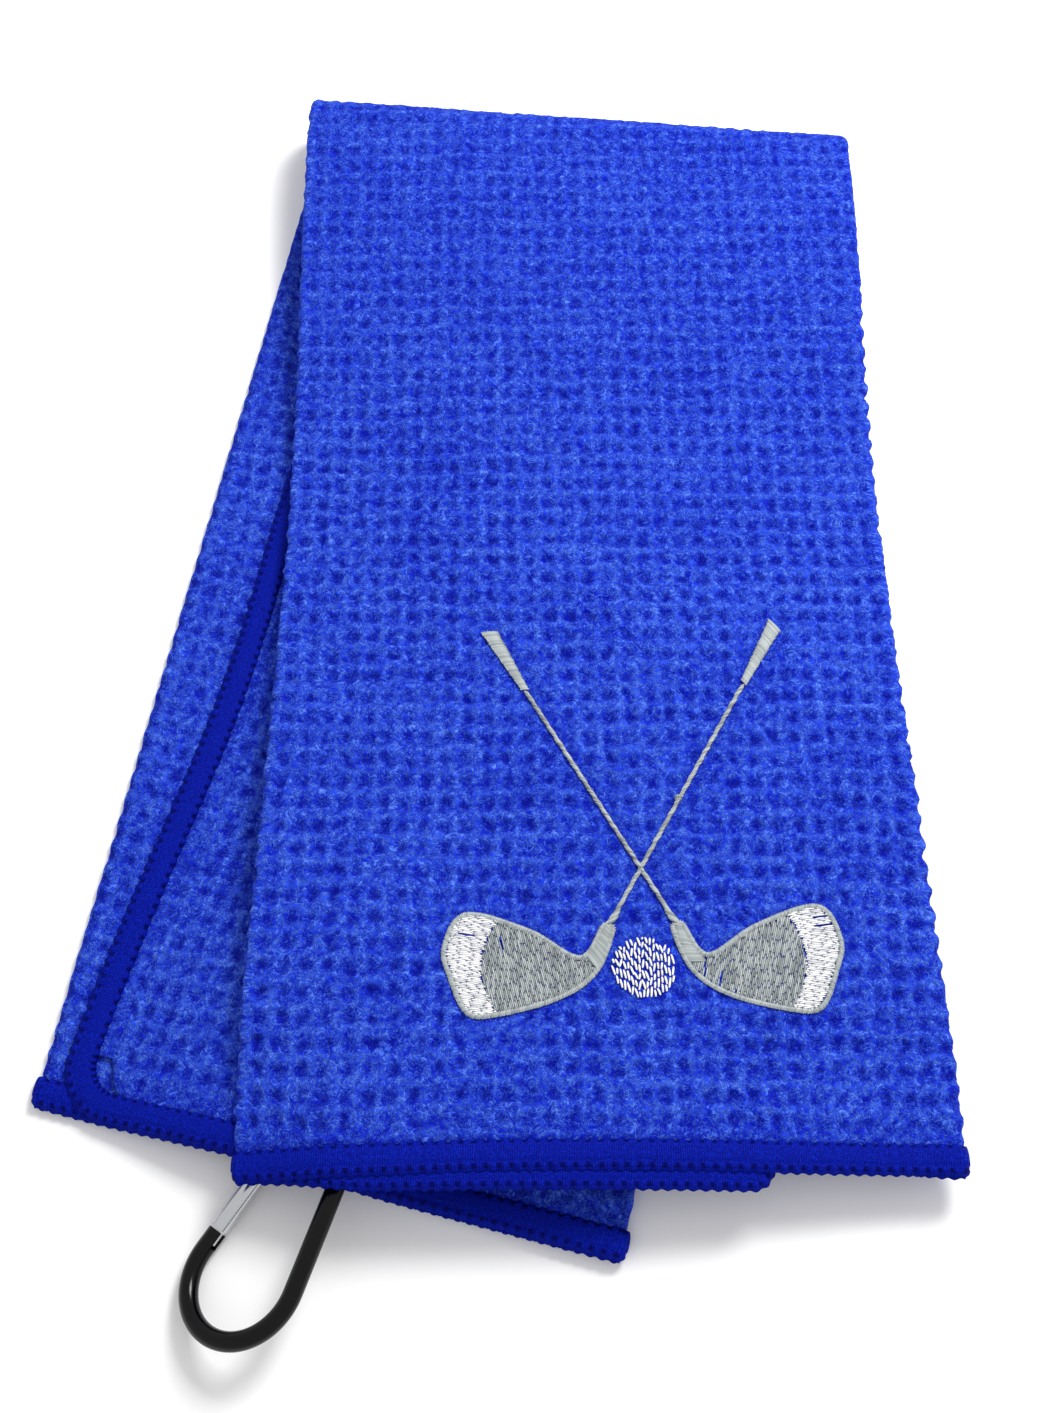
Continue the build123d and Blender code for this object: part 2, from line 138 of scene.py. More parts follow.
def front_surface(f, v):
    """The front half's outer face, at a share f across and a distance v from its end."""
    foot = FOOT_LEFT + f[..., None] * (FOOT_RIGHT - FOOT_LEFT)
    length = foot[..., 1] - FRONT_END_Y
    t = np.clip(v / length, -1, 1)
    x_end = FRONT_END_X[0] + f * (FRONT_END_X[1] - FRONT_END_X[0])
    x = x_end + (foot[..., 0] - x_end) * t + WAIST * np.sin(np.pi * np.clip(t, 0, 1)) ** 2 * (0.4 - f)
    y = FRONT_END_Y + v
    beyond = v - length
    z = curve_through(FRONT_BACKOFF, FRONT_HEIGHT, beyond)
    z = z - RIGHT_DROOP * smooth((x - 25) / 80) * smooth((-30 - y) / 110)
    z = z - CORNER_DROOP * smooth((-30 - x) / 28) * smooth((-100 - y) / 40)
    z = z + 0.8 * np.sin((x + 0.4 * y) / 23) * smooth((120 - y) / 60) * smooth((y + 120) / 50)
    flat = np.stack([x, y, z], -1)
    angle = np.maximum(beyond, 0) / FOLD_R
    out = FOLD_OUT * (FOLD_R * np.sin(angle))[..., None]
    roll = np.concatenate([foot + out, (FOLD_R + FOLD_R * np.cos(angle))[..., None]], -1)
    return np.where((beyond > 0)[..., None], roll, flat)


def bump(x, y):
    """How high the carabiner lifts the back half's cloth."""
    q = (x - GROMMET[0]) * END_WAY[0] + (y - GROMMET[1]) * END_WAY[1]
    d = (x - BACK_END_LEFT[0]) * END_INWARD[0] + (y - BACK_END_LEFT[1]) * END_INWARD[1]
    lift = sum(np.interp(q + shift, BUMP_Q, BUMP_LIFT) for shift in (-4, -2, 0, 2, 4)) / 5
    return lift * smooth((BUMP_ENDS - d) / (BUMP_ENDS - BUMP_FULL_TO))


def back_length(f):
    end = BACK_END_LEFT + f[..., None] * (BACK_END_RIGHT - BACK_END_LEFT)
    foot = FOOT_LEFT + f[..., None] * (FOOT_RIGHT - FOOT_LEFT)
    return end, foot, np.linalg.norm(foot - end, axis=-1)


def back_surface(f, v):
    """The back half's outer face, which lies on the floor."""
    end, foot, length = back_length(f)
    t = np.minimum(v / length, 1)
    plan = end + (foot - end) * t[..., None]
    flat = np.concatenate([plan, bump(plan[..., 0], plan[..., 1])[..., None]], -1)
    angle = np.maximum(v - length, 0) / FOLD_R
    out = FOLD_OUT * (FOLD_R * np.sin(angle))[..., None]
    roll = np.concatenate([foot + out, (FOLD_R - FOLD_R * np.cos(angle))[..., None]], -1)
    return np.where((v > length)[..., None], roll, flat)


def front_width(v):
    t = np.clip(v / 298, 0, 1)
    return 158.0 + 0.7 * t - WAIST * np.sin(np.pi * t) ** 2


def back_width(v):
    return 136.2 + 22.5 * np.clip(v / 300, 0, 1)


SURFACE = {"front": (front_surface, front_width, -1.0), "back": (back_surface, back_width, 1.0)}
STEP = 0.02
# A place well up the sheet, near the top fold, where its widths are measured.
UP_THE_SHEET = 300.0


def sheet_point(half, c, v, h):
    """Where a point of the sheet lies: coordinates c and v, and height h over its middle."""
    surface, width, inward = SURFACE[half]
    c, v, h = np.broadcast_arrays(np.asarray(c, float), v, h)
    total = width(v)
    panel = total - LEFT_C - RIGHT_C
    past = c - panel
    left_turn = np.clip(-c / LEFT_R, 0, math.pi)
    right_turn = np.clip(past / RIGHT_R, 0, math.pi)
    w = LEFT_C + c
    depth = MID - h
    on_left, on_right = c < 0, past > 0
    w = np.where(on_left, LEFT_C - (LEFT_R + h) * np.sin(left_turn), w)
    depth = np.where(on_left, LEFT_C - (LEFT_R + h) * np.cos(left_turn), depth)
    w = w + np.maximum(-LEFT_ARC - c, 0)
    w = np.where(on_right, total - RIGHT_C + (RIGHT_R + h) * np.sin(right_turn), w)
    depth = np.where(on_right, RIGHT_C - (RIGHT_R + h) * np.cos(right_turn), depth)
    w = w - np.maximum(past - RIGHT_ARC, 0)
    f = w / total
    df = STEP / total
    across = surface(f + df, v) - surface(f - df, v)
    along = surface(f, v + STEP) - surface(f, v - STEP)
    normal = unit(np.cross(across, along)) * inward
    return surface(f, v) + normal * depth[..., None]


def left_flap_w(v, half):
    total = SURFACE[half][1](v)
    spare = 2.5 if half == "front" else 0.0
    return np.minimum(TOWEL_W - RIGHT_FLAP_W - total + spare, total - 2 * RIGHT_C - 0.3)


def left_edge(v, half):
    """Sheet coordinate of the left flap's free edge."""
    return -(LEFT_ARC + left_flap_w(v, half) - LEFT_C)


def right_edge(v, half):
    """Sheet coordinate of the right flap's free edge."""
    total = SURFACE[half][1](v)
    return total - LEFT_C - RIGHT_C + RIGHT_ARC + right_flap_w(v, half) - RIGHT_C


def right_flap_w(v, half):
    if half == "front":
        return RIGHT_FLAP_W + 0 * v
    return RIGHT_FLAP_W - 4.0 * np.exp(-(((v - 110) / 55) ** 2))


def end_shift(c, half):
    """How far the end of each layer stands out from or behind the middle panel's end."""
    if half == "back":
        return 0.0 * c
    left = smooth((-LEFT_ARC - c) / 30)
    right = smooth((c - 155) / 40)
    return -1.0 - 1.8 * smooth((70 - np.abs(c)) / 70) * (1 - 0.6 * left) - 3.6 * left + 3.0 * right


def fold_reach(half, c, v, angle):
    """Distance from the end at which column c has turned by angle round the top fold."""
    total = SURFACE[half][1](v)
    panel = total - LEFT_C - RIGHT_C
    w = np.where(c < -LEFT_ARC, LEFT_C - LEFT_ARC - c, LEFT_C + c)
    w = np.where(c > panel + RIGHT_ARC, total - RIGHT_C - (c - panel - RIGHT_ARC), w)
    f = np.clip(w / total, 0, 1)
    if half == "front":
        foot = FOOT_LEFT[1] + f * (FOOT_RIGHT[1] - FOOT_LEFT[1])
        return foot - FRONT_END_Y + FOLD_R * angle
    return back_length(f)[2] + FOLD_R * angle


# ---------------------------------------------------------------- meshes
def mesh_object(name, points, polygons, attributes=None):
    """A mesh from points in mm and polygons, given as arrays with one polygon in each row."""
    mesh = bpy.data.meshes.new(name)
    mesh.vertices.add(len(points))
    mesh.vertices.foreach_set("co", (np.asarray(points, float) * MM).astype(np.float32).ravel())
    sizes = np.concatenate([np.full(len(p), p.shape[1]) for p in polygons])
    mesh.loops.add(int(sizes.sum()))
    mesh.loops.foreach_set("vertex_index", np.concatenate([p.ravel() for p in polygons]).astype(np.int32))
    mesh.polygons.add(len(sizes))
    starts = np.concatenate([[0], np.cumsum(sizes)[:-1]])
    mesh.polygons.foreach_set("loop_start", starts.astype(np.int32))
    mesh.polygons.foreach_set("use_smooth", np.ones(len(sizes), bool))
    for key, values in (attributes or {}).items():
        layer = mesh.attributes.new(key, "FLOAT_VECTOR", "POINT")
        layer.data.foreach_set("vector", np.asarray(values, np.float32).ravel())
    mesh.update(calc_edges=True)
    mesh.validate()
    made = bpy.data.objects.new(name, mesh)
    bpy.context.scene.collection.objects.link(made)
    return made


def grid_faces(index):
    return np.stack([index[:-1, :-1], index[1:, :-1], index[1:, 1:], index[:-1, 1:]], -1).reshape(-1, 4)


def shell(name, outer, inner, weave, coarse, hole=None):
    """A closed sheet: a fine outer face, a coarser inner face, and the rim between them."""
    rows, columns = outer.shape[:2]
    inner = inner[::coarse, ::coarse]
    top = np.arange(rows * columns).reshape(rows, columns)
    low = rows * columns + np.arange(inner.shape[0] * inner.shape[1]).reshape(inner.shape[:2])
    points = np.concatenate([outer.reshape(-1, 3), inner.reshape(-1, 3)])
    marks = np.concatenate([weave.reshape(-1, 3), weave[::coarse, ::coarse].reshape(-1, 3)])
    quads = [grid_faces(top), grid_faces(low)[:, ::-1]]
    rims = []
    for fine, rough, flip in (
        (top[0], low[0], False),
        (top[-1], low[-1], True),
        (top[:, 0], low[:, 0], True),
        (top[:, -1], low[:, -1], False),
    ):
        for k in range(len(rough) - 1):
            run = list(fine[k * coarse:(k + 1) * coarse + 1])
            ring = run[::-1] + [rough[k], rough[k + 1]]
            rims.append(ring if flip else ring[::-1])
    rims = np.array(rims)
    if hole is not None:
        centre, axis, radius, reach, cut = hole
        away = points - centre
        along = (away @ axis)[:, None] * axis
        radial = away - along
        r = np.linalg.norm(radial, axis=1)
        near = r < reach
        grown = radius + r * (reach - radius) / reach
        pushed = centre + along + radial * (grown / np.maximum(r, 1e-6))[:, None]
        points = np.where(near[:, None], pushed, points)
        keep = [~np.all(r[q] < limit, axis=1) for q, limit in zip(quads, (cut, cut + 1.5))]
        quads = [q[k] for q, k in zip(quads, keep)]
    return mesh_object(name, points, quads + [rims], {"weave": marks})


# ---------------------------------------------------------------- waffle cloth
CELL_W = 4.93
CELL_L = 5.85
RELIEF = 1.25


def waffle(c, v):
    """Height of the waffle weave, from 0 in a pit to 1 on a rib."""
    wander_c = 0.20 * (noise(c / 31, v / 17) - 0.5) + 0.30 * (noise(c / 2.6, v / 2.9) - 0.5)
    wander_v = 0.20 * (noise(c / 17 + 40, v / 31) - 0.5) + 0.30 * (noise(c / 2.8 + 60, v / 2.5) - 0.5)
    across = np.sin(np.pi * (c / CELL_W + wander_c)) ** 2
    along = np.sin(np.pi * (v / CELL_L + wander_v)) ** 2
    pit = (across**0.9) * (along**0.95)
    uneven = 0.60 + 0.62 * noise(c / 4.1 + 9, v / 4.7)
    pile = 0.30 * (noise(c / 1.15, v / 1.15) - 0.5) + 0.20 * (noise(c / 0.6 + 5, v / 0.6) - 0.5)
    return 1 - np.clip(pit * uneven, 0, 1) + pile


def edge_distance(half, c, v):
    """Distance on the sheet from its outline."""
    from_sides = np.minimum(c - left_edge(v, half), right_edge(v, half) - c)
    return np.minimum(v - end_shift(c, half), from_sides)


def cloth_grid(name, half, c_range, v_range, step, proud, relief, coarse=4, press=None, hole=None):
    """One piece of waffle cloth. c_range and v_range give its edges, each across the other."""
    lowest, highest = c_range(np.array([150.0]))
    across_n = int(round(abs(highest - lowest).item() / step / coarse)) * coarse
    share_c = np.linspace(0, 1, across_n + 1)[None, :]
    c_guess = lowest + (highest - lowest) * share_c
    start, stop = v_range[0](c_guess), v_range[1](c_guess)
    along_n = max(coarse, int(round(np.max(stop - start) / step / coarse)) * coarse)
    share_v = np.linspace(0, 1, along_n + 1)[:, None]
    v = start + (stop - start) * share_v
    low, high = c_range(v)
    c = low + (high - low) * share_c
    height = waffle(c, v)
    calm = 1 - 0.30 * smooth((v - 150) / 120)
    if press is not None:
        calm = calm * press(c, v)
    rim = edge_distance(half, c, v)
    calm = calm * (0.25 + 0.75 * smooth((rim - HEM_W) / 6))
    height = height * calm + 0.55 * (1 - calm)
    tucked = 0.8 * (1 - smooth((rim - HEM_W + 1.2) / 2.2))
    outer = sheet_point(half, c, v, MID - 0.2 + proud + relief * (height - 1) - tucked)
    outer[..., 2] = np.maximum(outer[..., 2], 0.02)
    inner = sheet_point(half, c, v, -MID + 0.05)
    weave = np.stack([c, v, height], -1)
    return shell(name, outer, inner, weave, coarse, hole)


HEM_TUCK = 3.2


def corner_start(c, half, edge, side):
    """Where a flap starts above its end, with its rounded corner, tucked under the hem."""
    inset = np.maximum((c - edge) * side - HEM_TUCK, 0)
    r = CORNERS[half, side] - HEM_TUCK
    cut = np.where(inset < r, r - np.sqrt(np.maximum(r * r - (r - inset) ** 2, 0)), 0)
    return end_shift(c, half) + HEM_TUCK + cut


def half_cloth(half, step, flap_step, proud, relief, flap_proud, flap_relief, press, holes):
    """The three layers of one half, up to where the top fold starts to turn."""
    angle = ROLL_FROM if half == "front" else math.pi - ROLL_TO

    def stop(c):
        return fold_reach(half, c, np.array(UP_THE_SHEET), angle)

    pieces = []
    pieces.append(cloth_grid(
        f"{half}_panel_cloth", half,
        lambda v: (-LEFT_ARC - 0.0 * v, SURFACE[half][1](v) - LEFT_C - RIGHT_C + RIGHT_ARC),
        (lambda c: HEM_TUCK + end_shift(c, half), stop), step, proud, relief, 4, press, holes and holes[0],
    ))
    edge = left_edge(np.array(12.0), half)
    pieces.append(cloth_grid(
        f"{half}_left_flap_cloth", half,
        lambda v: (left_edge(v, half) + HEM_TUCK, -LEFT_ARC + 0.0 * v),
        (lambda c: corner_start(c, half, edge, 1), stop), flap_step, flap_proud, flap_relief, 4,
        None, holes and holes[1],
    ))
    edge_r = right_edge(np.array(12.0), half)
    pieces.append(cloth_grid(
        f"{half}_right_flap_cloth", half,
        lambda v: (right_edge(v, half) - HEM_TUCK, SURFACE[half][1](v) - LEFT_C - RIGHT_C + RIGHT_ARC),
        (lambda c: corner_start(c, half, edge_r, -1), stop), flap_step if half == "front" else step,
        flap_proud, flap_relief, 4, None, holes and holes[2],
    ))
    return pieces


# ---------------------------------------------------------------- overlock hem
LOOP = 2.7
HEM_STEP = 0.45
HEM_H = 1.35
# The carabiner's rod lies over the back end here, so the hem is pressed down under its swing.
SWING_PATH = (-31.5, -137.0)
SWING_REACH = 10.0
SWING_DIP = 0.7
SWING_ABOVE = 6.8


def hem_ring(s, t_count=17):
    """The hem's section at distances s along it: offsets t from the edge and heights h."""
    beat = np.sin(np.pi * s / LOOP) ** 2
    swell = 1 + 0.14 * (noise(s / 9, 0 * s) - 0.5)
    ring_t, ring_h = [], []
    for side in (1, -1):
        for p in np.linspace(0, 1, t_count)[:-1] if side > 0 else np.linspace(1, 0, t_count)[:-1]:
            wide = HEM_W + 0.30 * beat
            t = wide * (1 - p) - (0.1 + 0.45 * beat) * p
            body = HEM_H * (1 - abs((p - 0.42) / 0.60) ** 3)
            loops = 0.30 * math.exp(-(((p - 0.84) / 0.07) ** 2)) * (beat - 0.25)
            crease = 0.28 * math.exp(-(((p - 0.71) / 0.045) ** 2))
            needle = 0.75 * math.exp(-(((p - 0.07) / 0.05) ** 2)) * (1 - beat) ** 3
            h = np.maximum(body * swell + loops - crease - needle, 0.05)
            close = float(smooth(np.array((1 - p) / 0.12)) * smooth(np.array(0.2 + p / 0.06)))
            ring_t.append(t)
            ring_h.append(side * h * close)
    return np.array(ring_t), np.array(ring_h)


def hem_piece(name, half, c_of, v_of, lengths):
    """A hem swept along a path on the sheet: c_of and v_of take (distance, offset)."""
    n = int(round(lengths / HEM_STEP))
    s = np.linspace(0, lengths, n + 1)
    t, h = hem_ring(s)
    c, v = c_of(s[None], t), v_of(s[None], t)
    points = sheet_point(half, c, v, h).transpose(1, 0, 2)
    if half == "back":
        away = np.hypot(points[..., 0] - SWING_PATH[0], points[..., 1] - SWING_PATH[1])
        near = smooth(1.4 - away / SWING_REACH)
        points[..., 2] -= SWING_DIP * near * np.clip(points[..., 2] - SWING_ABOVE, 0, 1)
    points[..., 2] = np.maximum(points[..., 2], 0.02)
    rows, ring = points.shape[:2]
    index = np.arange(rows * ring).reshape(rows, ring)
    index = np.concatenate([index, index[:, :1]], 1)
    marks = np.stack([np.broadcast_to(s[:, None], (rows, ring)), t.T, h.T], -1)
    ends = [index[0:1, :-1], index[-1:, :-1][:, ::-1]]
    attributes = {"weave": marks.reshape(-1, 3)}
    return mesh_object(name, points.reshape(-1, 3), [grid_faces(index), *ends], attributes)


def hem_path(half):
    """The hem's whole path round one half, as a polyline on the sheet with inward directions."""
    angle = ROLL_FROM if half == "front" else math.pi - ROLL_TO
    far = np.array(UP_THE_SHEET)
    left_r, right_r = CORNERS[half, 1], CORNERS[half, -1]
    low, high = float(left_edge(np.array(left_r), half)), float(right_edge(np.array(right_r), half))
    panel = float(SURFACE[half][1](np.array(3.0))) - LEFT_C - RIGHT_C
    points, inward = [], []

    def run_side(edge, sign, stations):
        for v in stations:
            points.append((float(edge(np.array(v), half)), v))
            inward.append((sign, 0.0))

    def run_corner(at, base, r, sign, degrees):
        for a in np.radians(degrees):
            points.append((at + sign * r * (1 - math.cos(a)), base - r * math.sin(a)))
            inward.append((sign * math.cos(a), math.sin(a)))

    left_base = float(end_shift(np.array(low + left_r), half)) + left_r
    top = float(fold_reach(half, left_edge(far, half), far, angle))
    run_side(left_edge, 1.0, np.arange(top, left_base, -1.0))
    run_corner(low, left_base, left_r, 1.0, np.linspace(0, 90, 24))
    for c in np.concatenate([
        np.arange(low + left_r + 0.5, -LEFT_ARC - 1, 1.0), np.arange(-LEFT_ARC - 1, 1, 0.3),
        np.arange(1, panel - 1, 1.0), np.arange(panel - 1, panel + RIGHT_ARC + 1, 0.3),
        np.arange(panel + RIGHT_ARC + 1, high - right_r - 0.5, 1.0),
    ]):
        points.append((c, float(end_shift(np.array(c), half))))
        inward.append((0.0, 1.0))
    right_base = float(end_shift(np.array(high - right_r), half)) + right_r
    run_corner(high, right_base, right_r, -1.0, np.linspace(90, 0, 24))
    top = float(fold_reach(half, right_edge(far, half), far, angle))
    run_side(right_edge, -1.0, [*np.arange(right_base + 1, top, 1.0), top])
    points, inward = np.array(points), np.array(inward)
    lengths = np.concatenate([[0], np.cumsum(np.linalg.norm(np.diff(points, axis=0), axis=1))])
    return points, inward, lengths


def half_hem(half):
    points, inward, lengths = hem_path(half)

    def along(values, s):
        return np.interp(s, lengths, values)

    return hem_piece(
        f"{half}_hem", half,
        lambda s, t: along(points[:, 0], s) + t * along(inward[:, 0], s),
        lambda s, t: along(points[:, 1], s) + t * along(inward[:, 1], s),
        lengths[-1],
    )


# ---------------------------------------------------------------- materials
def srgb(r, g, b):
    linear = [(x / 255 / 12.92) if x <= 10 else ((x / 255 + 0.055) / 1.055) ** 2.4 for x in (r, g, b)]
    return (*linear, 1)


class Nodes:
    """A short way to write a material's nodes."""

    def __init__(self, name):
        self.material = bpy.data.materials.new(name)
        self.material.use_nodes = True
        self.tree = self.material.node_tree
        self.shader = self.tree.nodes["Principled BSDF"]

    def add(self, kind, settings=None, **inputs):
        node = self.tree.nodes.new(kind)
        for key, value in (settings or {}).items():
            setattr(node, key, value)
        for key, value in inputs.items():
            self.put(node, key.replace("_", " "), value)
        return node

    def put(self, node, key, value):
        socket = node.inputs[int(key)] if key.isdigit() else node.inputs[key]
        if isinstance(value, bpy.types.NodeSocket):
            self.tree.links.new(value, socket)
        else:
            socket.default_value = value

    def set(self, **values):
        for key, value in values.items():
            self.put(self.shader, key.replace("_", " "), value)

    def math(self, operation, a, b=0.0):
        node = self.add("ShaderNodeMath", {"operation": operation})
        self.put(node, "0", a)
        self.put(node, "1", b)
        return node.outputs[0]

    def ramp(self, value, stops):
        node = self.add("ShaderNodeValToRGB", Fac=value)
        node.color_ramp.elements[0].position, node.color_ramp.elements[0].color = stops[0]
        node.color_ramp.elements[1].position, node.color_ramp.elements[1].color = stops[-1]
        for place, colour in stops[1:-1]:
            node.color_ramp.elements.new(place).color = colour
        return node.outputs["Color"]


def strands(m, place, scale, width):
    """Curled loops of pile: worms that follow a distorted noise field, 0 to 1, made bright in the cloth's
    colour as a painted highlight.
    """
    field = m.add("ShaderNodeTexNoise", Vector=place, Scale=scale, Detail=1.0, Distortion=1.6).outputs[0]
    away = m.math("ABSOLUTE", m.math("SUBTRACT", field, 0.5))
    return m.math("SUBTRACT", 1.0, m.math("MINIMUM", m.math("DIVIDE", away, width), 1.0))


def cloth_material():
    m = Nodes("waffle_cloth")
    weave = m.add("ShaderNodeAttribute", {"attribute_name": "weave"}).outputs["Vector"]
    height = m.add("ShaderNodeSeparateXYZ", Vector=weave).outputs["Z"]
    flat = m.add("ShaderNodeVectorMath", {"operation": "MULTIPLY"})
    m.put(flat, "0", weave)
    m.put(flat, "1", (1, 1, 0.2))
    place = flat.outputs[0]
    aside = m.add("ShaderNodeVectorMath", {"operation": "ADD"})
    m.put(aside, "0", place)
    m.put(aside, "1", (37.3, 81.7, 0))
    curl = m.math("MAXIMUM", strands(m, place, 0.5, 0.06), strands(m, aside.outputs[0], 0.62, 0.05))
    lump = m.add("ShaderNodeTexNoise", Vector=place, Scale=0.55, Detail=2.0).outputs[0]
    patch = m.add("ShaderNodeTexNoise", Vector=place, Scale=0.04, Detail=2.0).outputs[0]
    # The weave's height darkens the colour in the pits: painted shade in the waffle's recesses.
    level = m.math("MULTIPLY", height, 0.32)
    # The curled loops lighten the colour: painted highlight on the loops, with painted shade in the gaps
    # between them.
    level = m.math("ADD", level, m.math("MULTIPLY", curl, 0.42))
    level = m.math("ADD", level, m.math("MULTIPLY", m.math("SUBTRACT", lump, 0.5), 0.8))
    level = m.math("ADD", level, m.math("MULTIPLY", m.math("SUBTRACT", patch, 0.5), 0.2))
    # The ramp runs from the painted pit shade at its dark end to the painted loop highlight at its light end,
    # through the cloth's own blue.
    colour = m.ramp(level, [
        (0.0, srgb(2, 10, 146)), (0.2, srgb(11, 30, 178)),
        (0.45, srgb(38, 73, 214)), (0.85, srgb(94, 136, 250)),
    ])
    near = m.add("ShaderNodeBump", Strength=0.8, Distance=0.0005, Height=curl)
    far = m.add("ShaderNodeBump", Strength=0.6, Distance=0.0006, Normal=near.outputs[0], Height=lump)
    m.set(Base_Color=colour, Roughness=0.95, Normal=far.outputs[0], Sheen_Weight=0.12, Sheen_Roughness=0.5,
          Sheen_Tint=srgb(110, 150, 255), Specular_IOR_Level=0.08)
    return m.material


def hem_material():
    m = Nodes("hem_thread")
    weave = m.add("ShaderNodeAttribute", {"attribute_name": "weave"}).outputs["Vector"]
    parts = m.add("ShaderNodeSeparateXYZ", Vector=weave)
    drift = m.add("ShaderNodeTexNoise", Vector=weave, Scale=0.6, Detail=2.0).outputs[0]
    line = m.math("ADD", parts.outputs["X"], m.math("MULTIPLY", drift, 0.6))
    thread = m.math("MULTIPLY", m.math("SINE", m.math("MULTIPLY", line, 2 * math.pi / 0.5)), 0.5)
    fine = m.add("ShaderNodeTexNoise", Vector=weave, Scale=2.4, Detail=3.0).outputs[0]
    wave = m.math("COSINE", m.math("MULTIPLY", parts.outputs["X"], math.pi / LOOP))
    beat = m.math("POWER", m.math("ABSOLUTE", wave), 5.0)
    # Rows of dots, one per loop, at the inner seam's needle holes and between the loops at the outer edge;
    # they mark where painted shade goes.
    seam = m.math("COMPARE", parts.outputs["Y"], 6.1)
    seam.node.inputs[2].default_value = 0.55
    edge = m.math("COMPARE", parts.outputs["Y"], 0.9)
    edge.node.inputs[2].default_value = 0.5
    holes = m.math("MULTIPLY", m.math("ADD", seam, edge), beat)
    level = m.math("ADD", m.math("MULTIPLY", thread, 0.22), fine)
    # Darker at these dots: painted shade in the needle holes and between the edge loops.
    level = m.math("SUBTRACT", level, m.math("MULTIPLY", holes, 0.42))
    colour = m.ramp(level, [
        (0.1, srgb(0, 3, 80)), (0.42, srgb(1, 14, 128)), (0.62, srgb(3, 25, 154)), (0.9, srgb(14, 46, 190)),
    ])
    rough = m.add("ShaderNodeBump", Strength=0.7, Distance=0.0003, Height=level)
    m.set(Base_Color=colour, Roughness=0.7, Normal=rough.outputs[0], Specular_IOR_Level=0.05)
    return m.material


def thread_material(name, dark, light):
    m = Nodes(name)
    weave = m.add("ShaderNodeAttribute", {"attribute_name": "weave"}).outputs["Vector"]
    parts = m.add("ShaderNodeSeparateXYZ", Vector=weave)
    strand = m.math("SINE", m.math("ADD", m.math("MULTIPLY", parts.outputs["X"], 9.0),
                                   m.math("MULTIPLY", parts.outputs["Y"], 14.0)))
    tone = m.math("ADD", m.math("MULTIPLY", strand, 0.12), m.math("ADD", parts.outputs["Z"], 0.0))
    colour = m.ramp(tone, [(0.1, dark), (0.8, light)])
    rough = m.add("ShaderNodeBump", Strength=0.4, Distance=0.0001, Height=strand)
    m.set(Base_Color=colour, Roughness=0.38, Normal=rough.outputs[0], Sheen_Weight=0.15,
          Specular_IOR_Level=0.5, Anisotropic=0.4)
    return m.material


def metal_material(name, colour, metallic, roughness, scale, coat=0.0):
    m = Nodes(name)
    place = m.add("ShaderNodeTexCoord").outputs["Object"]
    wear = m.add("ShaderNodeTexNoise", Vector=place, Scale=scale, Detail=4.0)
    spread = m.math("ADD", roughness - 0.06, m.math("MULTIPLY", wear.outputs[0], 0.12))
    rough = m.add("ShaderNodeBump", Strength=0.08, Distance=0.0001, Height=wear.outputs[0])
    m.set(Base_Color=colour, Metallic=metallic, Roughness=spread, Normal=rough.outputs[0],
          Specular_IOR_Level=0.5 if metallic else 0.22)
    if coat:
        m.set(Coat_Weight=coat, Coat_Roughness=0.06)
    return m.material


CLOTH = cloth_material()
HEM = hem_material()
GREY = thread_material("grey_thread", srgb(84, 94, 98), srgb(180, 188, 188))
WHITE = thread_material("white_thread", srgb(176, 180, 190), srgb(250, 250, 250))
BLACK = metal_material("black_anodised", srgb(2, 2, 3), 0.0, 0.16, 900)
SILVER = metal_material("polished_aluminium", srgb(205, 206, 210), 1.0, 0.2, 1500)
STEEL = metal_material("rivet_steel", srgb(150, 150, 150), 1.0, 0.3, 900)
BRASS = metal_material("plunger_brass", srgb(190, 150, 80), 1.0, 0.3, 900)
NICKEL = metal_material("grommet_nickel", srgb(196, 196, 196), 1.0, 0.22, 900)


def dress(piece, material, body):
    piece.data.materials.clear()
    piece.data.materials.append(material)
    if body is not None:
        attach(piece, body)
    return piece


# ---------------------------------------------------------------- embroidery
THREAD_H = 0.32


def to_sheet(x, y):
    """Sheet coordinates of a plan point on the front panel."""
    v = y - FRONT_END_Y
    f = (x - FRONT_END_X[0]) / (FRONT_END_X[1] - FRONT_END_X[0])
    for _ in range(3):
        off = front_surface(f, v)[..., 0] - x
        f = f - off / 158.0
    return f * front_width(v) - LEFT_C, v


def dense(outline, step=0.5, closed=True):
    """A smooth line through the outline's points, as points about a step apart."""
    p = np.array(outline, float)
    ring = np.concatenate([p[-1:], p, p[:2]]) if closed else np.concatenate([p[:1], p, p[-1:]])
    out = []
    for a, b, c, d in zip(ring, ring[1:], ring[2:], ring[3:]):
        n = max(2, int(np.linalg.norm(c - b) / 0.25))
        t = np.linspace(0, 1, n, endpoint=False)[:, None]
        bend, twist = 2 * a - 5 * b + 4 * c - d, 3 * b - a - 3 * c + d
        out.append(0.5 * ((2 * b) + (c - a) * t + bend * t**2 + twist * t**3))
    line = np.concatenate(out + ([] if closed else [p[-1:]]))
    if closed:
        line = np.concatenate([line, line[:1]])
    lengths = np.concatenate([[0], np.cumsum(np.linalg.norm(np.diff(line, axis=0), axis=1))])
    n = max(3, int(lengths[-1] / step))
    s = np.linspace(0, lengths[-1], n + 1)
    return np.stack([np.interp(s, lengths, line[:, k]) for k in (0, 1)], -1)


def inside(outline, x, y):
    """Whether plan points lie inside a closed outline."""
    hit = np.zeros(np.shape(x), bool)
    for (x0, y0), (x1, y1) in zip(outline, np.roll(outline, -1, axis=0)):
        if y0 == y1:
            continue
        crosses = (y0 > y) != (y1 > y)
        hit ^= crosses & (x < (x1 - x0) * (y - y0) / (y1 - y0) + x0)
    return hit


def line_distance(line, x, y):
    """Distance from plan points to the nearest point of a line of close points."""
    best = np.full(np.shape(x), 1e9)
    for px, py in line:
        best = np.minimum(best, (x - px) ** 2 + (y - py) ** 2)
    return np.sqrt(best)


